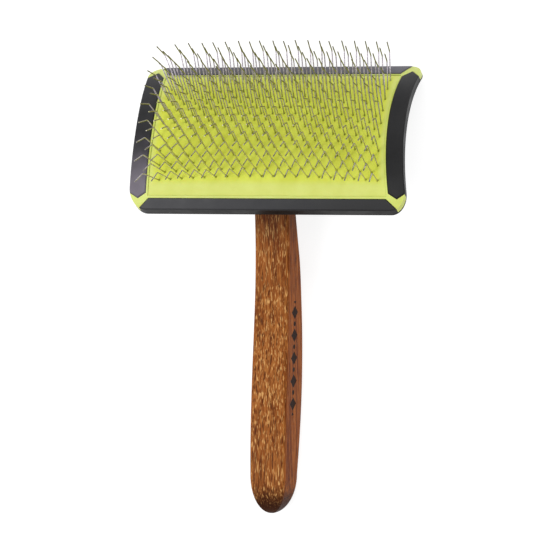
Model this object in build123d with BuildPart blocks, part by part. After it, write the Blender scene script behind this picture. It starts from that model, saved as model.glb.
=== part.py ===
"""A slicker brush: a curved head full of bent wire tines on a wooden handle.

The brush lies on its back, tines up, on the plane Z = 0. +Y runs from the handle to the head's
far edge, +X is across the head. Lengths are in millimetres and angles in degrees.

The head is curved about one axis that runs along X. Its layers are the same curve moved straight
down along the head's normal, the direction its mouldings leave their moulds, so every side wall
is parallel to that normal. In the head's own plane, x is across, t points to the far edge and n
is the normal.
"""

import math
import os
import random

from build123d import *

os.makedirs("parts", exist_ok=True)

# The head's curve and where its axis lies.
FACE_R = 59.0
AXIS_Y = 53.21
AXIS_Z = -18.7
HEAD_TILT = 20.6
HANDLE_TILT = 7.35

# Outline of the head, seen along its normal. The sides are slightly hollow.
HALF_WIDTH = 68.9
WAIST_R = 314.0
NEAR_EDGE = -39.5
FAR_EDGE = 42.4
CORNER_R = 8.0

# Depths of the layers behind the bumpers' front face.
FRAME_DEPTH = 0.5
PAD_DEPTH = 1.2
PAD_BACK = 2.8
BACKING_BACK = 3.8
FOAM_DEPTH = 4.95
FLOOR_DEPTH = 8.6
SHELL_DEPTH = 10.9
LEDGE_DEPTH = 2.8
LEDGE_BACK = 4.1
FLANGE_BACK = 5.2
BOWL_STEP = 7.8

# Bumpers and the frame's rim.
BUMPER_WIDTH = 8.6
BUMPER_BEVEL = 0.5
SKIRT = 1.4
RIM = 1.0
FIT = 0.1
NEAR_INNER = -34.85
FAR_INNER = 34.35
SHOULDER_X = 60.8
NEAR_CUT = (65.6, -38.5)
FAR_CUT = (64.4, 41.5)
SIDE_SHOULDERS = (-32.6, 32.0)
NEAR_POINT = 2.3
FAR_POINT = 4.6

# The tine bed, which has room all round it and under it to sink into the head.
PAD_GAP = 0.3
BACKING_GAP = 0.5
BOWL_INSET = 2.0
BACK_INSET = 3.6
FOAM_GAP = 0.4

# Tines: bent wires in bowed rows, joined in pairs by crowns of the same wire behind the backing.
WIRE_R = 0.3
ROWS = 17
LONG_ROW = 20
COLUMN_PITCH = 5.87
FIELD_SHIFT = 1.0
FIRST_ROW = -26.3
ROW_STEP = 3.53
ROW_BOW = 0.95
ROOT_LENGTH = 15.0
TIP_LENGTH = 7.5
KNEE_NEAR = 48.0
KNEE_FAR = 40.0
KNEE_R = 1.6
LEAN_NEAR = 15.0
LEAN_FAR = 18.0
FAN = 3.0
WORN_SPLAY = 13.0
WORN_POWER = 6
JITTER = 1.6
FOOT_DEPTH = 3.7
CROWN_GAP = 0.03
SINGLE_CROWN = 2.5

# Handle, in its own plane: y along the handle and z to its front, from the head's axis.
NECK_Y = -14.6
END_LENGTH = 19.35
END_ANGLES = (22, 42, 60, 74, 85)
SECTIONS = 15
# Each station: y, half the front face's width, height of the front face, thickness.
HANDLE_STATIONS = [
    (NECK_Y, 8.6, 47.9, 10.0),
    (-29.4, 8.6, 46.9, 12.7),
    (-42.0, 8.6, 46.9, 15.6),
    (-57.3, 8.6, 48.0, 18.0),
    (-76.8, 8.8, 50.1, 20.2),
    (-97.9, 9.0, 52.7, 21.2),
    (-116.3, 9.0, 54.9, 21.0),
    (-134.4, 8.9, 56.4, 19.4),
    (-146.4, 8.85, 56.7, 17.2),
]
SIDE_FLARE = 0.19
FRONT_EDGE_R = 1.8
BACK_EDGE_SHARE = 0.19
TENON_WIDTH = 15.0
TENON_FRONT = 46.2
TENON_BACK = 39.0
TENON_END = 11.5
SOCKET_GAP = 0.1
BOSS_WIDTH = 22.0
BOSS_FRONT = 48.6
BOSS_BACK = 35.8
BOSS_MOUTH = -14.2
BOSS_END = 15.0
BOSS_SLOPE = 6.0
BOSS_EDGE_R = 2.0
SCREW_PLACES = (-8.0, 3.5)
SCREW_R = 1.5
SCREW_GAP = 0.05
SCREW_HEAD_R = 3.1
SCREW_HEAD = 1.7
SCREW_LENGTH = 9.0
SLOT_WIDTH = 0.9
SLOT_DEPTH = 0.9

# How far the solids that cut or are cut run past what they meet.
OVERRUN = 1.0


def tilted(angle):
    """A unit vector in the YZ plane, `angle` from +Z towards +Y."""
    return Vector(0, math.sin(math.radians(angle)), math.cos(math.radians(angle)))


AXIS_POINT = (0, AXIS_Y, AXIS_Z)
HEAD = Plane(origin=AXIS_POINT, x_dir=(1, 0, 0), z_dir=tilted(HEAD_TILT))
HEAD_SIDE = Plane(origin=AXIS_POINT, x_dir=HEAD.y_dir, z_dir=(1, 0, 0))
HANDLE = Plane(origin=AXIS_POINT, x_dir=(1, 0, 0), z_dir=tilted(-HANDLE_TILT))
HANDLE_SIDE = Plane(origin=AXIS_POINT, x_dir=HANDLE.y_dir, z_dir=(1, 0, 0))


def side_x(t, inset=0.0):
    """Half the head's width at t."""
    return HALF_WIDTH + t * t / (2 * WAIST_R) - inset


def hollow_band(near, far, inset):
    """The head's shape in plan between two values of t, moved inwards by `inset` at the sides."""
    with BuildSketch() as band:
        with BuildLine():
            right = [(side_x(t, inset), t) for t in (near, 0, far)]
            left = [(-x, t) for x, t in reversed(right)]
            ThreePointArc(*right)
            Line(right[-1], left[0])
            ThreePointArc(*left)
            Line(left[-1], right[0])
        make_face()
    return band.sketch


def head_outline(inset):
    """The head's outline in plan, with rounded corners, moved inwards by `inset`."""
    with BuildSketch() as outline:
        add(hollow_band(NEAR_EDGE + inset, FAR_EDGE - inset, inset))
        fillet(outline.vertices(), CORNER_R - inset)
    return outline.sketch


def window_outline(inset):
    """The opening inside the bumpers, moved inwards by `inset`."""
    return hollow_band(NEAR_INNER + inset, FAR_INNER - inset, BUMPER_WIDTH + inset)


def side_bumper_plan(sign):
    """A side bumper in plan: a hollow band with pointed ends, past the outline outside."""
    near, far = SIDE_SHOULDERS
    inner = [(sign * side_x(t, BUMPER_WIDTH), t) for t in (near, 0, far)]
    near_tip = (sign * side_x(near, BUMPER_WIDTH / 2), near - NEAR_POINT)
    far_tip = (sign * side_x(far, BUMPER_WIDTH / 2), far + FAR_POINT)
    beyond = sign * (HALF_WIDTH + 2 * BUMPER_WIDTH)
    with BuildSketch() as plan:
        with BuildLine():
            ThreePointArc(*inner)
            Polyline(inner[-1], far_tip, (sign * side_x(far), far), (beyond, far))
            Line((beyond, far), (beyond, near))
            Polyline((beyond, near), (sign * side_x(near), near), near_tip, inner[0])
        make_face()
    return plan.sketch


def end_bumper_plan(inner, cut):
    """The near or far bumper in plan, cut at an angle at both ends, past the outline outside."""
    beyond = 2 * cut[1] - inner
    slope = (cut[0] - SHOULDER_X) / (cut[1] - inner)
    beyond_x = SHOULDER_X + slope * (beyond - inner)
    with BuildSketch() as plan:
        with BuildLine():
            Polyline(
                (SHOULDER_X, inner),
                (beyond_x, beyond),
                (-beyond_x, beyond),
                (-SHOULDER_X, inner),
                close=True,
            )
        make_face()
    return plan.sketch


def plate(plan, front, back):
    """A piece of the head: a plan shape between two depths behind the bumpers' front."""
    with BuildPart() as piece:
        with BuildSketch(HEAD):
            add(plan)
        extrude(amount=FACE_R + OVERRUN)
        with BuildSketch(HEAD_SIDE):
            with Locations((0, -front)):
                Circle(FACE_R)
            with Locations((0, -back)):
                Circle(FACE_R, mode=Mode.SUBTRACT)
        extrude(amount=2 * HALF_WIDTH, both=True, mode=Mode.INTERSECT)
    return piece.part


def on_front(edge):
    """Whether an edge lies on the bumpers' curved front."""
    places = [HEAD_SIDE.to_local_coords(edge @ u) for u in (0, 0.5, 1)]
    return all(abs(math.hypot(p.X, p.Y) - FACE_R) < 0.01 for p in places)


# The four black rubber bumpers, each with a skirt that covers the frame's edge.
BUMPER_PLANS = {
    "bumper_near": end_bumper_plan(NEAR_INNER, NEAR_CUT),
    "bumper_far": end_bumper_plan(FAR_INNER, FAR_CUT),
    "bumper_left": side_bumper_plan(-1),
    "bumper_right": side_bumper_plan(1),
}
for bumper_name, bumper_plan in BUMPER_PLANS.items():
    with BuildSketch() as face_plan:
        add(bumper_plan)
        add(head_outline(0), mode=Mode.INTERSECT)
    with BuildSketch() as skirt_plan:
        add(face_plan.sketch)
        add(head_outline(SKIRT), mode=Mode.SUBTRACT)
    with BuildPart() as bumper:
        add(plate(face_plan.sketch, 0, LEDGE_DEPTH))
        add(plate(skirt_plan.sketch, 0, LEDGE_BACK))
        chamfer(bumper.edges().filter_by(on_front), BUMPER_BEVEL)
    bumper.part.label = bumper_name
    export_step(bumper.part, f"parts/{bumper_name}.step")

# The lime frame: a ledge under the bumpers, a rim round the pad and a lug at each corner.
with BuildPart() as front_frame:
    add(plate(head_outline(0), FRAME_DEPTH, LEDGE_BACK))
    add(plate(window_outline(RIM), 0, SHELL_DEPTH), mode=Mode.SUBTRACT)
    for bumper_plan in BUMPER_PLANS.values():
        with BuildSketch() as pocket_plan:
            add(bumper_plan)
            offset(amount=FIT)
        with BuildSketch() as edge_plan:
            add(pocket_plan.sketch)
            add(head_outline(SKIRT + FIT), mode=Mode.SUBTRACT)
        add(plate(pocket_plan.sketch, 0, LEDGE_DEPTH + FIT), mode=Mode.SUBTRACT)
        add(plate(edge_plan.sketch, 0, SHELL_DEPTH), mode=Mode.SUBTRACT)
front_frame.part.label = "front_frame"
export_step(front_frame.part, "parts/front_frame.step")

# The black back shell: a flange behind the frame, a stepped bowl and the handle's socket.
with BuildPart() as boss:
    with BuildSketch(HANDLE_SIDE):
        with BuildLine():
            Polyline(
                (BOSS_MOUTH, BOSS_FRONT),
                (BOSS_MOUTH, BOSS_BACK),
                (BOSS_END - BOSS_SLOPE, BOSS_BACK),
                (BOSS_END, BOSS_BACK + BOSS_SLOPE),
                (BOSS_END, BOSS_FRONT),
                close=True,
            )
        make_face()
    extrude(amount=BOSS_WIDTH / 2, both=True)
    fillet(boss.faces().sort_by(Axis(HANDLE.origin, HANDLE.z_dir))[0].edges(), BOSS_EDGE_R)
with BuildPart() as tenon_space:
    with BuildSketch(HANDLE.offset(TENON_BACK - SOCKET_GAP)):
        with Locations((0, (NECK_Y + TENON_END) / 2)):
            Rectangle(TENON_WIDTH + 2 * SOCKET_GAP, TENON_END - NECK_Y + 2 * SOCKET_GAP)
    extrude(amount=TENON_FRONT - TENON_BACK + 2 * SOCKET_GAP)
with BuildPart() as screw_space:
    for place in SCREW_PLACES:
        with BuildSketch(HANDLE.offset(BOSS_BACK - OVERRUN)):
            with Locations((0, place)):
                Circle(SCREW_R + SCREW_GAP)
        extrude(amount=SCREW_LENGTH + 2 * OVERRUN)
        with BuildSketch(HANDLE.offset(BOSS_BACK - OVERRUN)):
            with Locations((0, place)):
                Circle(SCREW_HEAD_R + SCREW_GAP)
        extrude(amount=OVERRUN + SCREW_HEAD + SCREW_GAP)
with BuildPart() as back_shell:
    add(plate(head_outline(0), LEDGE_BACK + FIT, FLANGE_BACK))
    add(plate(head_outline(BOWL_INSET), LEDGE_BACK + FIT, BOWL_STEP))
    add(plate(head_outline(BACK_INSET), BOWL_STEP - OVERRUN, SHELL_DEPTH))
    add(boss.part)
    add(plate(window_outline(RIM), 0, FLOOR_DEPTH), mode=Mode.SUBTRACT)
    add(tenon_space.part, mode=Mode.SUBTRACT)
    add(screw_space.part, mode=Mode.SUBTRACT)
    split(bisect_by=Plane.XY, keep=Keep.TOP)
back_shell.part.label = "back_shell"
export_step(back_shell.part, "parts/back_shell.step")

# The tine bed: the lime rubber face, the cloth foundation that holds the crowns, and the foam.
with BuildPart() as pad:
    add(plate(window_outline(RIM + PAD_GAP), PAD_DEPTH, PAD_BACK))
pad.part.label = "pad"
export_step(pad.part, "parts/pad.step")
with BuildPart() as pad_backing:
    add(plate(window_outline(RIM + BACKING_GAP), PAD_BACK, BACKING_BACK))
pad_backing.part.label = "pad_backing"
export_step(pad_backing.part, "parts/pad_backing.step")
with BuildPart() as foam_cushion:
    add(plate(window_outline(RIM + FOAM_GAP), FOAM_DEPTH, FLOOR_DEPTH - FIT))
foam_cushion.part.label = "foam_cushion"
export_step(foam_cushion.part, "parts/foam_cushion.step")


def tine(x, angle, lean, bend, fan):
    """Tip, knee and foot of one tine, rooted at x and `angle` along the head's curve."""
    a = math.radians(angle)
    root = math.radians(lean)
    across = math.radians(fan)
    past = math.radians(lean - bend)
    outward = Vector(0, math.sin(a), math.cos(a))
    along = Vector(0, math.cos(a), -math.sin(a))
    base = Vector(x, FACE_R * math.sin(a), FACE_R * math.cos(a) - PAD_DEPTH)
    sideways = Vector(math.sin(across), 0, 0)
    root_way = (outward * math.cos(root) + along * math.sin(root)) * math.cos(across) + sideways
    tip_way = (outward * math.cos(past) + along * math.sin(past)) * math.cos(across) + sideways
    knee = base + root_way * ROOT_LENGTH
    below = (FOOT_DEPTH - PAD_DEPTH) * math.cos(a) / math.cos(root)
    return [knee + tip_way * TIP_LENGTH, knee, base - root_way * (below / math.cos(across))]


def wire(points):
    """A round wire through points given in the head's own plane, bent at a knee if there are three."""
    places = [HEAD.from_local_coords(p) for p in points]
    with BuildPart() as bent:
        with BuildLine() as path:
            if len(places) == 2:
                Line(*places)
            else:
                FilletPolyline(*places, radius=KNEE_R)
        with BuildSketch(Plane(origin=path.line @ 0, z_dir=path.line % 0)):
            Circle(WIRE_R)
        sweep(path=path.line)
    return bent.part


def crown(first, second):
    """A straight wire under two feet, just clear of the backing."""
    ends = []
    for x, t, _ in (first, second):
        steep = math.sqrt(FACE_R**2 - t**2)
        drop = BACKING_BACK + (WIRE_R + CROWN_GAP) * FACE_R / steep
        ends.append(Vector(x, t, steep - drop))
    reach = (ends[1] - ends[0]).normalized() * WIRE_R
    return wire([ends[0] - reach, ends[1] + reach])


# The rows of tines. The last tine of a short row stands alone on a short crown.
luck = random.Random(7)
crowns = []
for row in range(ROWS):
    share = row / (ROWS - 1)
    count = LONG_ROW - row % 2
    row_lean = LEAN_NEAR + (LEAN_FAR - LEAN_NEAR) * share**2
    bend = KNEE_NEAR + (KNEE_FAR - KNEE_NEAR) * share
    tines = []
    for column in range(count):
        across_share = (2 * column - count + 1) / (LONG_ROW - 1)
        angle = FIRST_ROW + row * ROW_STEP + ROW_BOW * (1 - 2 * across_share**2)
        tine_fan = FAN * across_share + luck.uniform(-JITTER, JITTER)
        tine_fan -= WORN_SPLAY * max(0, -across_share) ** WORN_POWER
        tine_lean = row_lean + luck.uniform(-JITTER, JITTER)
        x = FIELD_SHIFT + across_share * COLUMN_PITCH * (LONG_ROW - 1) / 2
        tines.append(tine(x, angle, tine_lean, bend, tine_fan))
    with BuildPart() as pin_row:
        for points in tines:
            add(wire(points))
    row_name = f"pin_row_{row + 1:02d}"
    pin_row.part.label = row_name
    export_step(pin_row.part, f"parts/{row_name}.step")
    feet = [points[-1] for points in tines]
    if count % 2:
        feet.append(feet[-1] - Vector(SINGLE_CROWN, 0, 0))
    crowns += [crown(*sorted(pair, key=lambda foot: foot.X)) for pair in zip(feet[0::2], feet[1::2])]
with BuildPart() as pin_crowns:
    for piece in crowns:
        add(piece)
pin_crowns.part.label = "pin_crowns"
export_step(pin_crowns.part, "parts/pin_crowns.step")


def stations_between(stations, count):
    """`count` evenly spaced stations on a smooth curve through the given ones."""
    slopes = []
    for i in range(len(stations)):
        before = stations[max(i - 1, 0)]
        after = stations[min(i + 1, len(stations) - 1)]
        slopes.append([(b - a) / (after[0] - before[0]) for a, b in zip(before, after)])
    made = []
    for step in range(count):
        y = stations[0][0] + (stations[-1][0] - stations[0][0]) * step / (count - 1)
        i = max(k for k in range(len(stations) - 1) if step == 0 and k == 0 or stations[k][0] > y)
        span = stations[i + 1][0] - stations[i][0]
        u = (y - stations[i][0]) / span
        made.append(
            [
                (2 * u**3 - 3 * u**2 + 1) * a
                + (u**3 - 2 * u**2 + u) * span * slope_a
                + (3 * u**2 - 2 * u**3) * b
                + (u**3 - u**2) * span * slope_b
                for a, b, slope_a, slope_b in zip(stations[i], stations[i + 1], slopes[i], slopes[i + 1])
            ]
        )
    return made


def handle_section(y, half, front, thickness, share):
    """A section of the handle at y, shrunk to `share` of its size about its middle."""
    station = HANDLE * Location((0, y, front - thickness / 2))
    with BuildSketch(Plane(origin=station.position, x_dir=(1, 0, 0), z_dir=HANDLE.y_dir)) as section:
        with BuildLine():
            top = -thickness * share / 2
            wide = (half + SIDE_FLARE * thickness) * share
            Polyline((-half * share, top), (half * share, top), (wide, -top), (-wide, -top), close=True)
        make_face()
        fillet(section.vertices().group_by(Axis.Y)[0], FRONT_EDGE_R * share)
        fillet(section.vertices().group_by(Axis.Y)[-1], BACK_EDGE_SHARE * thickness * share)
    return section.sketch


# The wooden handle: a loft along its stations, a rounded end, and the tenon in the socket.
with BuildPart() as handle:
    for y, half, front, thickness in stations_between(HANDLE_STATIONS, SECTIONS):
        add(handle_section(y, half, front, thickness, 1))
    for angle in END_ANGLES:
        y, half, front, thickness = HANDLE_STATIONS[-1]
        drop = math.radians(angle)
        add(handle_section(y - END_LENGTH * math.sin(drop), half, front, thickness, math.cos(drop)))
    loft()
    with BuildSketch(HANDLE.offset(TENON_BACK)):
        with Locations((0, (NECK_Y - OVERRUN + TENON_END) / 2)):
            Rectangle(TENON_WIDTH, TENON_END - NECK_Y + OVERRUN)
    extrude(amount=TENON_FRONT - TENON_BACK)
    add(screw_space.part, mode=Mode.SUBTRACT)
    split(bisect_by=Plane.XY, keep=Keep.TOP)
handle.part.label = "handle"
export_step(handle.part, "parts/handle.step")

# The two wood screws that hold the tenon in its socket, put in from the back.
with BuildPart() as handle_screws:
    for place in SCREW_PLACES:
        with BuildSketch(HANDLE.offset(BOSS_BACK)):
            with Locations((0, place)):
                Circle(SCREW_R)
        extrude(amount=SCREW_LENGTH)
        with BuildSketch(HANDLE.offset(BOSS_BACK)):
            with Locations((0, place)):
                Circle(SCREW_HEAD_R)
        extrude(amount=SCREW_HEAD)
        with BuildSketch(HANDLE.offset(BOSS_BACK)):
            with Locations((0, place)):
                Rectangle(3 * SCREW_R, SLOT_WIDTH)
                Rectangle(SLOT_WIDTH, 3 * SCREW_R)
        extrude(amount=SLOT_DEPTH, mode=Mode.SUBTRACT)
handle_screws.part.label = "handle_screws"
export_step(handle_screws.part, "parts/handle_screws.step")
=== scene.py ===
"""Looks of the slicker brush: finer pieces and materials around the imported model, in its frame."""

import math

import bpy
import numpy as np
from mathutils import Matrix, Vector


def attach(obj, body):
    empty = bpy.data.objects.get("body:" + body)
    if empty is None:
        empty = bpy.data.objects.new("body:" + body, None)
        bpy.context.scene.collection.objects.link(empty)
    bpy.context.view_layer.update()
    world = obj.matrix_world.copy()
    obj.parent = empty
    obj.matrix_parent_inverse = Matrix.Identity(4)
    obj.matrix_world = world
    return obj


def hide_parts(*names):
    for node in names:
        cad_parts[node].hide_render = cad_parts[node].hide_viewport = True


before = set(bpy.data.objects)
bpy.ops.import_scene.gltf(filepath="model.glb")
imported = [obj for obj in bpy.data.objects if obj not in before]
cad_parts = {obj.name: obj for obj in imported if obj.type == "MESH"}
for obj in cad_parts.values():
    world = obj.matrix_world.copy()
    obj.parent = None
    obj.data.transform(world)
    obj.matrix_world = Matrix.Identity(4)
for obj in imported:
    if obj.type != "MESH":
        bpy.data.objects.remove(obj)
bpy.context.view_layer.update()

MM = 0.001

# Scale from object coordinates, which are metres, to millimetres.
MILLIMETRES = (1000, 1000, 1000)

# The head's curve and outline and the handle's plane, in millimetres and degrees as in part.py.
AXIS_POINT = np.array([0.0, 53.21, -18.7])
HEAD_TILT = math.radians(20.6)
HANDLE_TILT = math.radians(7.35)
FACE_R = 59.0
HALF_WIDTH = 68.9
WAIST_R = 314.0
BUMPER_WIDTH = 8.6
NEAR_INNER = -34.85
FAR_INNER = 34.35
HEAD_T = np.array([0, math.cos(HEAD_TILT), -math.sin(HEAD_TILT)])
HEAD_N = np.array([0, math.sin(HEAD_TILT), math.cos(HEAD_TILT)])
HANDLE_Y = np.array([0, math.cos(HANDLE_TILT), math.sin(HANDLE_TILT)])
HANDLE_Z = np.array([0, -math.sin(HANDLE_TILT), math.cos(HANDLE_TILT)])

# Where the tines come out of the pad.
ROWS = 17
LONG_ROW = 20
COLUMN_PITCH = 5.87
FIELD_SHIFT = 1.0
FIRST_ROW = -26.3
ROW_STEP = 3.53
ROW_BOW = 0.95


# Where painted shade darkens the handle's rounded end and painted shadow its neck under the head, and
# the row of marks, along the handle and up its side.
END_SHADE = (-161.5, -148.0)
NECK_SHADOW = (-36.0, -16.0)
MARKS_START = -116.7
MARKS_PITCH = 11.3
MARKS_COUNT = 5
MARKS_HEIGHT = 47.2
MARKS_SLOPE = -0.12
DIAMOND = (3.4, 3.4)
DOT_R = 1.2

# The pad's face: a pit and a lip at each tine, slight waves, and how far it stands out.
PIT_DEPTH = 0.30
PIT_R = 0.36
LIP_HEIGHT = 0.07
LIP_R = 0.85
LIP_WIDTH = 0.35
WAVE_HEIGHT = 0.05
WAVE_LENGTHS = (4.1, 3.3)
WAVE_START = 0.6
EDGE_RAISED = 0.25
PILLOW = 0.4
PILLOW_HALF = (61.5, 35.0)
# How far the painted shade in each pit reaches, and where the tine field's painted shade fades into the
# painted highlight of the bare edges.
PIT_SHADE_R = 0.42
FIELD_MARGIN = 0.2
FIELD_FADE = 2.4

# Bands of the wires, as reach past the head's curve: painted shade at the roots, the knee where the
# painted olive reflection of the pad begins, and the darker tips; and where that olive reflection begins
# along Y.
ROOT_BAND = (-0.5, 5.0)
KNEE_BAND = (12.2, 14.4)
TIP_BAND = (17.6, 19.4)
PAD_REFLECTION_ALONG = (56.0, 86.0)

# Pitch of the foundation's weave.
WEAVE_PITCH = 0.6


# ---------------------------------------------------------------- materials


class Nodes:
    """A material with a principled shader, and short calls that add nodes to it."""

    def __init__(self, name, **sockets):
        self.material = bpy.data.materials.new(name)
        self.material.use_nodes = True
        self.tree = self.material.node_tree
        self.shader = self.tree.nodes["Principled BSDF"]
        for key, value in sockets.items():
            self.shader.inputs[key.replace("_", " ")].default_value = value
        self.place = self.tree.nodes.new("ShaderNodeTexCoord").outputs["Object"]

    def put(self, socket, value):
        if isinstance(value, bpy.types.NodeSocket):
            self.tree.links.new(value, socket)
        elif value is not None:
            socket.default_value = value

    def add(self, kind, inputs=(), out=0, **settings):
        node = self.tree.nodes.new(kind)
        for key, value in settings.items():
            setattr(node, key, value)
        for key, value in dict(inputs).items():
            self.put(node.inputs[key], value)
        return node.outputs[out]

    def to(self, socket, value):
        self.put(self.shader.inputs[socket], value)

    def math(self, operation, a, b=None, clamp=False):
        node = self.tree.nodes.new("ShaderNodeMath")
        node.operation = operation
        node.use_clamp = clamp
        self.put(node.inputs[0], a)
        self.put(node.inputs[1], b)
        return node.outputs[0]

    def turned(self, angle, scale):
        """Object coordinates turned about X by -angle and scaled, from metres."""
        turned = self.add(
            "ShaderNodeVectorRotate",
            {"Vector": self.place, "Angle": -angle},
            rotation_type="X_AXIS",
        )
        return self.add("ShaderNodeVectorMath", {0: turned, 1: scale}, operation="MULTIPLY")

    def noise(self, where, scale, detail=3.0, rough=0.55):
        inputs = {"Vector": where, "Scale": scale, "Detail": detail, "Roughness": rough}
        return self.add("ShaderNodeTexNoise", inputs)

    def fade(self, value, low, high, start=0.0, end=1.0):
        """A smooth step of value from low to high, as start to end."""
        inputs = {"Value": value, 1: low, 2: high, 3: start, 4: end}
        return self.add("ShaderNodeMapRange", inputs, interpolation_type="SMOOTHSTEP")

    def mix(self, share, a, b, blend="MIX"):
        node = self.tree.nodes.new("ShaderNodeMix")
        node.data_type = "RGBA"
        node.blend_type = blend
        self.put(node.inputs[0], share)
        self.put(node.inputs[6], a)
        self.put(node.inputs[7], b)
        return node.outputs[2]

    def bump(self, height, distance, strength=1.0, after=None):
        inputs = {"Height": height, "Distance": distance, "Strength": strength, "Normal": after}
        return self.add("ShaderNodeBump", inputs)

    def walls(self, share):
        """share on faces that stand along the head's normal, nothing on its front: the mask of the
        rubber's painted wall shade.
        """
        normal = self.add("ShaderNodeNewGeometry", out=1)
        inputs = {0: normal, 1: tuple(HEAD_N)}
        facing = self.add("ShaderNodeVectorMath", inputs, out=1, operation="DOT_PRODUCT")
        return self.fade(facing, 0.15, 0.62, share, 0.0)

    def parts(self, vector):
        node = self.tree.nodes.new("ShaderNodeSeparateXYZ")
        self.put(node.inputs[0], vector)
        return node.outputs


def hexa(code):
    """A linear colour from an sRGB code such as 8a4a22."""
    values = [int(code[i : i + 2], 16) / 255 for i in (0, 2, 4)]
    linear = [v / 12.92 if v <= 0.04045 else ((v + 0.055) / 1.055) ** 2.4 for v in values]
    return (*linear, 1.0)


def oiled_wood():
    """Brown hardwood: fine grain along the handle, short pale flecks, a burnt row of marks."""
    m = Nodes("oiled_wood", Specular_IOR_Level=0.12, IOR=1.3)
    v = m.turned(HANDLE_TILT, MILLIMETRES)
    _, y, z = m.parts(v)
    y = m.math("SUBTRACT", y, float(AXIS_POINT @ HANDLE_Y))
    z = m.math("SUBTRACT", z, float(AXIS_POINT @ HANDLE_Z))
    warp = m.noise(m.turned(HANDLE_TILT, (90, 22, 90)), 1.0, 2.0)
    bent = m.add(
        "ShaderNodeVectorMath",
        {0: v, 1: m.add("ShaderNodeCombineXYZ", {0: m.math("MULTIPLY", warp, 3.0)})},
        operation="ADD",
    )

    def grain(scale):
        return m.add("ShaderNodeVectorMath", {0: bent, 1: scale}, operation="MULTIPLY")

    broad = m.noise(grain((0.22, 0.012, 0.22)), 1.0, 3.0, 0.5)
    lines = m.noise(grain((1.1, 0.018, 1.1)), 1.0, 3.0, 0.6)
    streak = m.noise(grain((1.7, 0.06, 1.7)), 1.0, 3.0, 0.55)
    short = m.noise(grain((2.0, 0.24, 2.0)), 1.0, 2.0, 0.5)
    pores = m.noise(grain((2.0, 0.12, 2.0)), 1.0, 2.0, 0.5)

    colour = m.mix(m.fade(broad, 0.38, 0.60), hexa("62300f"), hexa("945727"))
    colour = m.mix(m.fade(lines, 0.40, 0.60, 0.0, 0.85), colour, hexa("7c4118"))
    colour = m.mix(m.fade(streak, 0.48, 0.64, 0.0, 0.60), colour, hexa("a86d34"))
    colour = m.mix(m.fade(short, 0.54, 0.66, 0.0, 0.80), colour, hexa("cf9d60"))
    colour = m.mix(m.fade(pores, 0.53, 0.62, 0.0, 0.85), colour, hexa("4a200b"))

    normal = m.parts(m.add("ShaderNodeNewGeometry", out=1))
    side = m.fade(m.math("ABSOLUTE", normal[0]), 0.45, 0.90)
    red = m.mix(m.fade(lines, 0.38, 0.62), hexa("63290a"), hexa("a25c2a"))
    red = m.mix(m.fade(pores, 0.54, 0.68, 0.0, 0.6), red, hexa("3d1c0b"))
    colour = m.mix(m.math("MULTIPLY", side, 0.85), colour, red)

    # Painted shadow of the head darkens the wood under it, and painted shade darkens it towards the
    # rounded end.
    ragged = m.math("ADD", y, m.math("MULTIPLY", m.math("SUBTRACT", short, 0.5), 14.0))
    end = m.fade(ragged, END_SHADE[0], END_SHADE[1], 0.95, 0.0)
    neck_shadow = m.fade(ragged, NECK_SHADOW[0], NECK_SHADOW[1], 0.0, 0.5)
    colour = m.mix(m.math("MAXIMUM", end, neck_shadow), colour, hexa("2c1206"))

    # The row of burnt diamonds and dots on the right side.
    along = m.math("DIVIDE", m.math("SUBTRACT", y, MARKS_START), MARKS_PITCH)
    inside = m.math(
        "MULTIPLY",
        m.math("GREATER_THAN", along, 0.0),
        m.math("LESS_THAN", along, float(MARKS_COUNT)),
    )
    cell = m.math("ABSOLUTE", m.math("SUBTRACT", m.math("FRACT", along), 0.5))
    rise = m.math("MULTIPLY", m.math("SUBTRACT", y, MARKS_START), MARKS_SLOPE)
    up = m.math("ABSOLUTE", m.math("SUBTRACT", m.math("SUBTRACT", z, MARKS_HEIGHT), rise))
    diamond = m.math(
        "ADD",
        m.math("DIVIDE", m.math("MULTIPLY", cell, MARKS_PITCH), DIAMOND[0]),
        m.math("DIVIDE", up, DIAMOND[1]),
    )
    off = m.math("MULTIPLY", m.math("SUBTRACT", 0.5, cell), MARKS_PITCH)
    squares = m.math("ADD", m.math("POWER", off, 2.0), m.math("POWER", up, 2.0))
    dot = m.math("DIVIDE", m.math("SQRT", squares), DOT_R)
    ring = m.fade(diamond, 0.92, 1.06, 1.0, 0.0)
    burnt = m.math("MAXIMUM", ring, m.fade(dot, 0.88, 1.10, 1.0, 0.0))
    right_side = m.math("GREATER_THAN", normal[0], 0.5)
    burnt = m.math("MULTIPLY", m.math("MULTIPLY", burnt, inside), right_side)
    colour = m.mix(m.math("MULTIPLY", burnt, 0.95), colour, hexa("160a05"))
    m.to("Base Color", colour)

    m.to("Roughness", m.fade(lines, 0.3, 0.7, 0.38, 0.55))
    height = m.math("SUBTRACT", m.math("MULTIPLY", lines, 0.6), m.fade(pores, 0.58, 0.72))
    height = m.math("SUBTRACT", height, m.math("MULTIPLY", burnt, 2.5))
    m.to("Normal", m.bump(height, 0.00006, 0.8))
    return m.material


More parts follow.
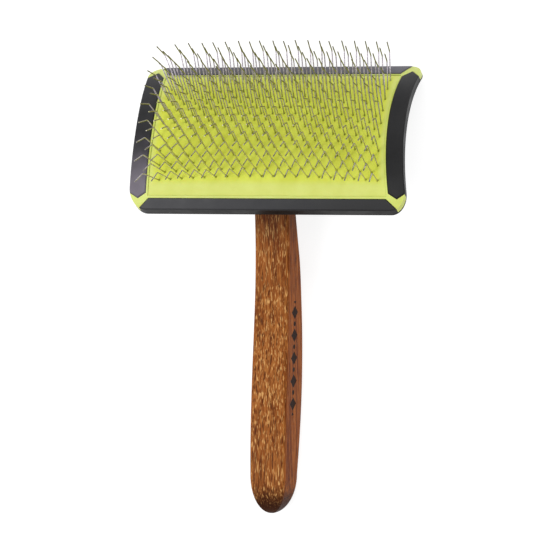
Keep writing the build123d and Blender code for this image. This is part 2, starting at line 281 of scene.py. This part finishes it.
def black_rubber(name, dark, light, axis, low, high, reflection_colour, reflection_wobble=18.0, wall_shade=0.8):
    """Satin black rubber with a fine matt grain, a painted reflection that grows paler towards the high
    end of an axis, and painted shade on its walls.
    """
    m = Nodes(name, Specular_IOR_Level=0.35, IOR=1.4)
    v = m.turned(0.0, MILLIMETRES)
    along = m.parts(v)[axis]
    fine = m.noise(v, 5.0, 2.0)
    broad = m.noise(v, 0.12, 3.0)
    shown = m.mix(m.fade(broad, 0.35, 0.65), hexa(dark), hexa(light))
    shown = m.mix(m.fade(fine, 0.60, 0.72, 0.0, 0.25), shown, hexa("4a4a4d"))
    # A painted reflection, paler towards the high end of the axis, with a wavering edge.
    reflection_reach = m.math("ADD", along, m.math("MULTIPLY", m.math("SUBTRACT", broad, 0.5), reflection_wobble))
    shown = m.mix(m.fade(reflection_reach, low, high, 0.0, 0.75), shown, hexa(reflection_colour))
    # Painted shade darkens the walls that stand along the head's normal.
    m.to("Base Color", m.mix(m.walls(wall_shade), shown, hexa("040404")))
    m.to("Roughness", m.fade(broad, 0.3, 0.7, 0.42, 0.56))
    m.to("Normal", m.bump(fine, 0.00004, 0.35))
    return m.material


def black_shell():
    """Moulded black plastic with a fine spark-eroded texture."""
    m = Nodes("black_shell", Specular_IOR_Level=0.3, IOR=1.35)
    v = m.turned(0.0, MILLIMETRES)
    texture = m.add("ShaderNodeTexVoronoi", {"Vector": v, "Scale": 3.2})
    broad = m.noise(v, 0.08, 4.0)
    scuffs = m.noise(m.turned(0.3, (500, 4000, 2500)), 1.0, 4.0, 0.7)
    colour = m.mix(m.fade(broad, 0.3, 0.7), hexa("0e0e0f"), hexa("171718"))
    colour = m.mix(m.fade(scuffs, 0.62, 0.80, 0.0, 0.3), colour, hexa("38383a"))
    m.to("Base Color", colour)
    m.to("Roughness", m.fade(broad, 0.3, 0.7, 0.45, 0.6))
    m.to("Normal", m.bump(texture, 0.00004, 0.45))
    return m.material


def lime_plastic():
    """Satin lime plastic of the frame, slightly uneven in colour, with fine flow marks."""
    m = Nodes("lime_plastic", Specular_IOR_Level=0.45, Subsurface_Weight=0.08, Subsurface_Scale=0.001)
    v = m.turned(HEAD_TILT, MILLIMETRES)
    broad = m.noise(v, 0.07, 3.0)
    flow = m.noise(m.turned(HEAD_TILT, (120, 900, 900)), 1.0, 3.0)
    fine = m.noise(v, 4.0, 2.0)
    colour = m.mix(m.fade(broad, 0.3, 0.7), hexa("b9c351"), hexa("c2cc5c"))
    colour = m.mix(m.fade(flow, 0.5, 0.7, 0.0, 0.35), colour, hexa("ccd56a"))
    m.to("Base Color", colour)
    m.to("Roughness", m.fade(flow, 0.3, 0.7, 0.28, 0.42))
    m.to("Normal", m.bump(fine, 0.00003, 0.25))
    return m.material


def lime_rubber():
    """The pad's rubber: stronger lime between the tines as painted shade, paler at the edges as a
    painted highlight, and painted shade in the pits.
    """
    m = Nodes("lime_rubber", Specular_IOR_Level=0.35, Subsurface_Weight=0.05, Subsurface_Scale=0.001)
    v = m.turned(HEAD_TILT, MILLIMETRES)
    field = m.add("ShaderNodeAttribute", out=2, attribute_name="field")
    pit = m.add("ShaderNodeAttribute", out=2, attribute_name="pit")
    broad = m.noise(v, 0.10, 3.0)
    grain = m.noise(v, 3.0, 3.0)
    # Stronger lime in the tine field is painted shade of the tines; the paler bare edges are a painted
    # highlight.
    shaded_field = m.mix(m.fade(broad, 0.3, 0.7), hexa("c3ca38"), hexa("cdd548"))
    lit_edges = m.mix(m.fade(broad, 0.3, 0.7), hexa("c6cd62"), hexa("ccd36e"))
    colour = m.mix(field, lit_edges, shaded_field)
    colour = m.mix(m.fade(grain, 0.55, 0.75, 0.0, 0.25), colour, hexa("b3c224"))
    # Painted shade in the pits round the tines.
    colour = m.mix(m.math("MULTIPLY", pit, 0.8), colour, hexa("565f12"))
    m.to("Base Color", colour)
    m.to("Roughness", m.fade(grain, 0.3, 0.7, 0.48, 0.62))
    m.to("Normal", m.bump(grain, 0.00004, 0.4))
    return m.material


def foundation_cloth():
    """Plain-woven foundation cloth that holds the tines' crowns."""
    m = Nodes("foundation_cloth", Specular_IOR_Level=0.2, Roughness=0.9, Sheen_Weight=0.2)
    x, y, _ = m.parts(m.turned(HEAD_TILT, MILLIMETRES))
    warp = m.math("SINE", m.math("MULTIPLY", x, 2 * math.pi / WEAVE_PITCH))
    weft = m.math("SINE", m.math("MULTIPLY", y, 2 * math.pi / WEAVE_PITCH))
    weave = m.math("MULTIPLY", warp, weft)
    fuzz = m.noise(m.turned(HEAD_TILT, MILLIMETRES), 2.0, 3.0)
    colour = m.mix(m.fade(weave, -0.6, 0.6), hexa("7d7867"), hexa("b5ae98"))
    m.to("Base Color", m.mix(m.fade(fuzz, 0.4, 0.7, 0.0, 0.5), colour, hexa("8f8a78")))
    m.to("Normal", m.bump(weave, 0.0001, 0.6))
    return m.material


def cushion_foam():
    """Closed-cell foam: pale grey, with small cells."""
    m = Nodes("cushion_foam", Specular_IOR_Level=0.15, Roughness=0.95, Sheen_Weight=0.1)
    v = m.turned(0.0, MILLIMETRES)
    cells = m.add("ShaderNodeTexVoronoi", {"Vector": v, "Scale": 1.6})
    broad = m.noise(v, 0.2, 3.0)
    colour = m.mix(m.fade(cells, 0.1, 0.6), hexa("8d8d84"), hexa("c9c9c0"))
    m.to("Base Color", m.mix(m.fade(broad, 0.4, 0.7, 0.0, 0.4), colour, hexa("b1b0a2")))
    m.to("Normal", m.bump(cells, 0.0002, 0.6))
    return m.material


def steel_wire():
    """Drawn steel wire: bright shanks, a painted olive reflection of the pad on the ends past the knee
    in the far rows, darker tips, and painted shade at the roots.
    """
    m = Nodes("steel_wire", Metallic=1.0)
    v = m.turned(0.0, MILLIMETRES)
    _, y, z = m.parts(v)
    dy = m.math("SUBTRACT", y, AXIS_POINT[1])
    dz = m.math("SUBTRACT", z, AXIS_POINT[2])
    reach = m.math("SQRT", m.math("ADD", m.math("POWER", dy, 2.0), m.math("POWER", dz, 2.0)))
    marks = m.noise(v, 1.1, 3.0, 0.7)
    colour = m.mix(m.fade(marks, 0.35, 0.65), hexa("b3abb6"), hexa("dcd5df"))
    # Past the knee in the far rows, a painted olive reflection of the lime pad.
    past_knee = m.fade(reach, FACE_R + KNEE_BAND[0], FACE_R + KNEE_BAND[1])
    far_rows = m.fade(y, PAD_REFLECTION_ALONG[0], PAD_REFLECTION_ALONG[1], 0.2, 0.9)
    pad_reflection = m.math("MULTIPLY", past_knee, far_rows)
    colour = m.mix(pad_reflection, colour, hexa("908c5c"))
    tip = m.fade(reach, FACE_R + TIP_BAND[0], FACE_R + TIP_BAND[1], 0.0, 0.6)
    colour = m.mix(tip, colour, hexa("5a5740"))
    # Painted shade with the pad's painted olive reflection near the roots.
    root = m.fade(reach, FACE_R + ROOT_BAND[0], FACE_R + ROOT_BAND[1], 0.7, 0.0)
    colour = m.mix(root, colour, hexa("8f9148"))
    m.to("Base Color", colour)
    m.to("Roughness", m.fade(marks, 0.3, 0.7, 0.24, 0.42))
    m.to("Normal", m.bump(m.noise(v, 9.0, 2.0), 0.00001, 0.3))
    return m.material


def zinc_screw():
    """Zinc plated screws, turned marks on the head."""
    m = Nodes("zinc_screw", Metallic=1.0)
    v = m.turned(HANDLE_TILT, MILLIMETRES)
    patches = m.noise(v, 0.9, 4.0, 0.7)
    colour = m.mix(m.fade(patches, 0.35, 0.65), hexa("8d8f92"), hexa("c9cbce"))
    m.to("Base Color", colour)
    m.to("Roughness", m.fade(patches, 0.3, 0.7, 0.25, 0.45))
    m.to("Normal", m.bump(m.noise(v, 7.0, 2.0), 0.00002, 0.3))
    return m.material


# ------------------------------------------------------------------ pieces


def new_piece(name, points, faces, material):
    """A smooth-shaded closed mesh from points in millimetres."""
    mesh = bpy.data.meshes.new(name)
    mesh.from_pydata((np.asarray(points) * MM).tolist(), [], faces)
    mesh.validate()
    mesh.polygons.foreach_set("use_smooth", [True] * len(mesh.polygons))
    mesh.materials.append(material)
    piece = bpy.data.objects.new(name, mesh)
    bpy.context.scene.collection.objects.link(piece)
    return piece


def on_head(x, t, depth):
    """Points at x and t, depth behind the bumpers' front."""
    n = np.sqrt(FACE_R**2 - t**2) - depth
    across = x[..., None] * np.array([1, 0, 0])
    return AXIS_POINT + across + t[..., None] * HEAD_T + n[..., None] * HEAD_N


def spread(low, high, count, edge, steps):
    """Values from low to high, closer together within edge of both ends."""
    near = low + edge * (1 - np.cos(np.linspace(0, math.pi / 2, steps + 1)))
    far = high - (near - low)[::-1]
    middle = np.linspace(near[-1], far[0], count)
    return np.concatenate([near[:-1], middle, far[1:]])


def curved_slab(name, inset, front, back, counts, edge, material, relief=None):
    """A closed sheet in the head's opening, with rounded rims. relief(x, t) lowers its front."""
    t_line = spread(NEAR_INNER + inset, FAR_INNER - inset, counts[1], edge, 4)
    half = HALF_WIDTH + t_line**2 / (2 * WAIST_R) - BUMPER_WIDTH - inset
    share = spread(-1, 1, counts[0], edge / 60, 4)
    x = half[:, None] * share[None, :]
    t = np.repeat(t_line[:, None], len(share), axis=1)
    rim_x = half[:, None] - np.abs(x)
    rim_t = np.minimum(t - t_line[0], t_line[-1] - t)
    rim = np.clip(np.minimum(rim_x, rim_t), 0, edge)
    rounding = edge - np.sqrt(np.maximum(edge**2 - (edge - rim) ** 2, 0))
    lowered = relief(x, t) if relief else 0 * x
    top = on_head(x, t, front + rounding + lowered)
    bottom = on_head(x, t, back - rounding)
    rows, columns = x.shape
    index = np.arange(rows * columns).reshape(rows, columns)
    under = index + rows * columns

    def quads(a, b, c, d):
        return np.stack([a, b, c, d], axis=-1).reshape(-1, 4).tolist()

    faces = quads(index[:-1, :-1], index[:-1, 1:], index[1:, 1:], index[1:, :-1])
    faces += quads(under[:-1, :-1], under[1:, :-1], under[1:, 1:], under[:-1, 1:])
    faces += quads(index[0, 1:], index[0, :-1], under[0, :-1], under[0, 1:])
    faces += quads(index[-1, :-1], index[-1, 1:], under[-1, 1:], under[-1, :-1])
    faces += quads(index[:-1, 0], index[1:, 0], under[1:, 0], under[:-1, 0])
    faces += quads(index[1:, -1], index[:-1, -1], under[:-1, -1], under[1:, -1])
    points = np.concatenate([top.reshape(-1, 3), bottom.reshape(-1, 3)])
    return new_piece(name, points, faces, material), x, t


def tine_roots():
    """x and t of every tine where it comes out of the pad."""
    roots = []
    for row in range(ROWS):
        count = LONG_ROW - row % 2
        for column in range(count):
            across = 2 * column - count + 1
            bow = ROW_BOW * (1 - 2 * (across / (LONG_ROW - 1)) ** 2)
            angle = math.radians(FIRST_ROW + row * ROW_STEP + bow)
            roots.append((FIELD_SHIFT + across * COLUMN_PITCH / 2, FACE_R * math.sin(angle)))
    return np.array(roots)


ROOTS = tine_roots()


def root_distance(x, t):
    """Distance in plan from each point to the nearest tine root."""
    best = np.full(x.shape, 1e9)
    for root_x, root_t in ROOTS:
        near = np.abs(t - root_t) < 3
        near &= np.abs(x - root_x) < 3
        best[near] = np.minimum(best[near], np.hypot(x[near] - root_x, t[near] - root_t))
    return best


def pad_relief(x, t):
    """A pillowed face with a small pit and lip round each tine, and slight waves between them."""
    r = root_distance(x, t)
    pit = PIT_DEPTH * np.exp(-((r / PIT_R) ** 2))
    lip = -LIP_HEIGHT * np.exp(-(((r - LIP_R) / LIP_WIDTH) ** 2))
    waves = WAVE_HEIGHT * np.sin(x / WAVE_LENGTHS[0] + WAVE_START) * np.sin(t / WAVE_LENGTHS[1])
    crown_x = 1 - (np.abs(x) / PILLOW_HALF[0]) ** 6
    crown_t = 1 - (np.abs(t) / PILLOW_HALF[1]) ** 4
    pillow = -EDGE_RAISED - PILLOW * crown_x * crown_t
    return pit + lip + waves + pillow


pad, pad_x, pad_t = curved_slab(
    "pad_rubber", 1.03, 1.2, 2.75, (380, 220), 0.2, lime_rubber(), pad_relief
)
# Attributes for the pad's painted light: shade in the pits, and the tine field's shade against the bare
# edges' highlight.
grid = np.concatenate([root_distance(pad_x, pad_t).ravel(), np.full(pad_x.size, 9.0)])
pit = pad.data.attributes.new("pit", "FLOAT", "POINT")
pit.data.foreach_set("value", np.exp(-((grid / PIT_SHADE_R) ** 2)).astype(np.float32))
first_t, last_t = ROOTS[:, 1].min(), ROOTS[:, 1].max()
last_x = np.abs(ROOTS[:, 0]).max()
outside = np.maximum(np.maximum(first_t - pad_t, pad_t - last_t), np.abs(pad_x) - last_x)
field_share = np.clip(1 - (outside + FIELD_MARGIN) / FIELD_FADE, 0, 1).ravel()
field = pad.data.attributes.new("field", "FLOAT", "POINT")
field.data.foreach_set("value", np.tile(field_share, 2).astype(np.float32))
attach(pad, "pin_bed")
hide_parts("pad")

cloth = curved_slab("foundation", 1.55, 2.8, 3.8, (90, 60), 0.3, foundation_cloth())[0]
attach(cloth, "pin_bed")
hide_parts("pad_backing")

# The foam starts below where the crowns reach when the tine bed is pressed right in.
foam = curved_slab("cushion", 1.5, 5.9, 8.45, (90, 60), 0.8, cushion_foam())[0]
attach(foam, "body")
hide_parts("foam_cushion")


# The handle's stations: y, half the front face's width, height of the front face, thickness.
STATIONS = np.array(
    [
        (-14.6, 8.6, 47.9, 10.0),
        (-29.4, 8.6, 46.9, 12.7),
        (-42.0, 8.6, 46.9, 15.6),
        (-57.3, 8.6, 48.0, 18.0),
        (-76.8, 8.8, 50.1, 20.2),
        (-97.9, 9.0, 52.7, 21.2),
        (-116.3, 9.0, 54.9, 21.0),
        (-134.4, 8.9, 56.4, 19.4),
        (-146.4, 8.85, 56.7, 17.2),
    ]
)
END_LENGTH = 19.35
SIDE_FLARE = 0.19
FRONT_EDGE_R = 1.8
BACK_EDGE_SHARE = 0.19
TENON_HALF = 7.5
TENON_HEIGHTS = (39.0, 46.2)
TENON_END = 11.5


def smooth_stations(stations, count):
    """Stations between the given ones on a cubic curve through them."""
    y = stations[:, 0]
    slope = np.gradient(stations, axis=0) / np.gradient(y)[:, None]
    made = []
    for value in np.linspace(y[0], y[-1], count):
        i = int(np.clip(np.searchsorted(-y, -value) - 1, 0, len(y) - 2))
        step = y[i + 1] - y[i]
        u = (value - y[i]) / step
        basis = (2 * u**3 - 3 * u**2 + 1, u**3 - 2 * u**2 + u, 3 * u**2 - 2 * u**3, u**3 - u**2)
        made.append(
            basis[0] * stations[i]
            + basis[1] * step * slope[i]
            + basis[2] * stations[i + 1]
            + basis[3] * step * slope[i + 1]
        )
    return np.array(made)


def rounded_loop(corners, radii, arc_steps, side_steps):
    """A closed loop with rounded corners and evenly divided sides, as (x, z) points."""
    loop = []
    total = len(corners)
    ends = []
    for i in range(total):
        corner = np.array(corners[i])
        before = np.array(corners[i - 1]) - corner
        after = np.array(corners[(i + 1) % total]) - corner
        before /= np.linalg.norm(before)
        after /= np.linalg.norm(after)
        half = math.acos(np.clip(before @ after, -1, 1)) / 2
        middle = before + after
        centre = corner + middle / np.linalg.norm(middle) * radii[i] / math.sin(half)
        reach = radii[i] / math.tan(half)
        start = corner + before * reach - centre
        stop = corner + after * reach - centre
        swing = math.pi - 2 * half
        arc = []
        for k in range(arc_steps + 1):
            u = k / arc_steps
            turned = math.sin((1 - u) * swing) * start + math.sin(u * swing) * stop
            arc.append(centre + turned / math.sin(swing))
        ends.append(arc)
    for i in range(total):
        loop += ends[i]
        first, last = ends[i][-1], ends[(i + 1) % total][0]
        loop += [first + (last - first) * k / side_steps for k in range(1, side_steps)]
    return np.array(loop)


def handle_ring(station, share=1.0, shift=0.0):
    """One ring of the handle's skin in its own plane, shrunk to share about its middle."""
    y, half, front, thickness = station
    wide = half + SIDE_FLARE * thickness
    deep = thickness / 2
    corners = [(-half, deep), (half, deep), (wide, -deep), (-wide, -deep)]
    back_r = BACK_EDGE_SHARE * thickness
    loop = rounded_loop(corners, [FRONT_EDGE_R, FRONT_EDGE_R, back_r, back_r], 6, 8) * share
    return np.column_stack([loop[:, 0], np.full(len(loop), y + shift), loop[:, 1] + front - deep])


def handle_piece():
    rings = []
    low, high = TENON_HEIGHTS
    tenon = [(-TENON_HALF, high), (TENON_HALF, high), (TENON_HALF, low), (-TENON_HALF, low)]
    loop = rounded_loop(tenon, [0.3] * 4, 6, 8)
    for y in (TENON_END, STATIONS[0, 0]):
        rings.append(np.column_stack([loop[:, 0], np.full(len(loop), y), loop[:, 1]]))
    for station in smooth_stations(STATIONS, 90):
        rings.append(handle_ring(station))
    for drop in np.radians(np.linspace(4, 88, 22)):
        rings.append(handle_ring(STATIONS[-1], math.cos(drop), -END_LENGTH * math.sin(drop)))
    local = np.array(rings)
    rows, columns = local.shape[:2]
    flat = local.reshape(-1, 3)
    ends = [local[0].mean(axis=0), local[-1].mean(axis=0)]
    flat = np.concatenate([flat, ends])
    across = flat[:, :1] * np.array([[1, 0, 0]])
    points = AXIS_POINT + across + flat[:, 1:2] * HANDLE_Y + flat[:, 2:] * HANDLE_Z
    faces = []
    for r in range(rows - 1):
        for c in range(columns):
            d = (c + 1) % columns
            here, after = r * columns, (r + 1) * columns
            faces.append((here + c, after + c, after + d, here + d))
    first, last = rows * columns, rows * columns + 1
    base = (rows - 1) * columns
    for c in range(columns):
        d = (c + 1) % columns
        faces.append((first, c, d))
        faces.append((last, base + d, base + c))
    return new_piece("handle_wood", points, faces, oiled_wood())


handle = handle_piece()
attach(handle, "body")
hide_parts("handle")

# ------------------------------------------------- materials of the CAD nodes

WIRE = steel_wire()
FINISHES = {
    "back_shell": black_shell(),
    "front_frame": lime_plastic(),
    # The bumpers are lit and shaded copies of one black rubber: painted light makes the far one greyest
    # and the right one darkest, each with its own painted reflection and painted wall shade.
    "bumper_near": black_rubber("near_rubber", "1d1d1e", "242426", 0, 60.0, -80.0, "434346", wall_shade=1.0),
    "bumper_far": black_rubber("far_rubber", "313036", "3d3c43", 0, -70.0, 70.0, "52505a"),
    "bumper_left": black_rubber("left_rubber", "1e1e20", "272729", 1, 70.0, 40.0, "756e79"),
    "bumper_right": black_rubber("right_rubber", "0b0b0c", "111112", 1, 40.0, 110.0, "222224", wall_shade=0.0),
    "handle_screws": zinc_screw(),
}
for name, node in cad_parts.items():
    finish = WIRE if name.startswith("pin_") else FINISHES.get(name)
    if finish:
        node.data.materials.clear()
        node.data.materials.append(finish)

# --------------------------------------------------------- floor, light, camera

floor_mesh = bpy.data.meshes.new("floor")
FLOOR_HALF = 12.0
corners = [(FLOOR_HALF * a, FLOOR_HALF * b, 0) for a, b in ((-1, -1), (1, -1), (1, 1), (-1, 1))]
floor_mesh.from_pydata(corners, [], [(0, 1, 2, 3)])
floor = bpy.data.objects.new("floor", floor_mesh)
paper = Nodes("white_paper", Roughness=0.9, Specular_IOR_Level=0.1, Emission_Strength=0.84)
paper.to("Base Color", (0.28, 0.28, 0.28, 1))
paper.to("Emission Color", (1, 1, 1, 1))
floor_mesh.materials.append(paper.material)
bpy.context.scene.collection.objects.link(floor)

world = bpy.data.worlds.new("studio")
world.use_nodes = True
world.node_tree.nodes["Background"].inputs["Color"].default_value = (1, 1, 1, 1)
world.node_tree.nodes["Background"].inputs["Strength"].default_value = 0.72
bpy.context.scene.world = world
bpy.context.scene.view_settings.view_transform = "Standard"


def area_light(name, place, aim, size, power):
    light = bpy.data.lights.new(name, "AREA")
    light.shape = "RECTANGLE"
    light.size, light.size_y = size
    light.energy = power
    lamp = bpy.data.objects.new(name, light)
    lamp.location = place
    lamp.rotation_mode = "QUATERNION"
    lamp.rotation_quaternion = (Vector(aim) - Vector(place)).to_track_quat("-Z", "Y")
    lamp.visible_camera = False
    bpy.context.scene.collection.objects.link(lamp)


area_light("key", (-0.9, -0.5, 1.5), (0, 0, 0), (0.9, 0.9), 16.0)
area_light("top", (0.3, 1.2, 1.2), (0, 0.05, 0.02), (0.8, 0.5), 7.0)

# The camera looks from high above, a little from the right and the handle's end.
AZIMUTH = math.radians(15.73)
ELEVATION = math.radians(4.12)
ROLL = math.radians(0.7)
DISTANCE = 1.46
VIEW_WIDTH = 0.2738
level = math.cos(AZIMUTH)
LOOK = Vector((math.sin(AZIMUTH), -level * math.sin(ELEVATION), level * math.cos(ELEVATION)))
UP = Vector((0.0, math.cos(ELEVATION), math.sin(ELEVATION)))
RIGHT = UP.cross(LOOK).normalized()
UP = LOOK.cross(RIGHT).normalized()
RIGHT, UP = (
    RIGHT * math.cos(ROLL) + UP * math.sin(ROLL),
    UP * math.cos(ROLL) - RIGHT * math.sin(ROLL),
)
aim = Vector((0.0, 0.0217, 0.020)) + RIGHT * 0.00035 - UP * 0.0209
camera_data = bpy.data.cameras.new("camera")
camera_data.sensor_width = 36.0
camera_data.lens = 36.0 * DISTANCE / VIEW_WIDTH
camera_data.clip_start = 0.1
camera_data.clip_end = 60.0
camera = bpy.data.objects.new("camera", camera_data)
turn = Matrix((RIGHT, UP, LOOK)).transposed()
camera.matrix_world = Matrix.Translation(aim + LOOK * DISTANCE) @ turn.to_4x4()
bpy.context.scene.collection.objects.link(camera)
bpy.context.scene.camera = camera
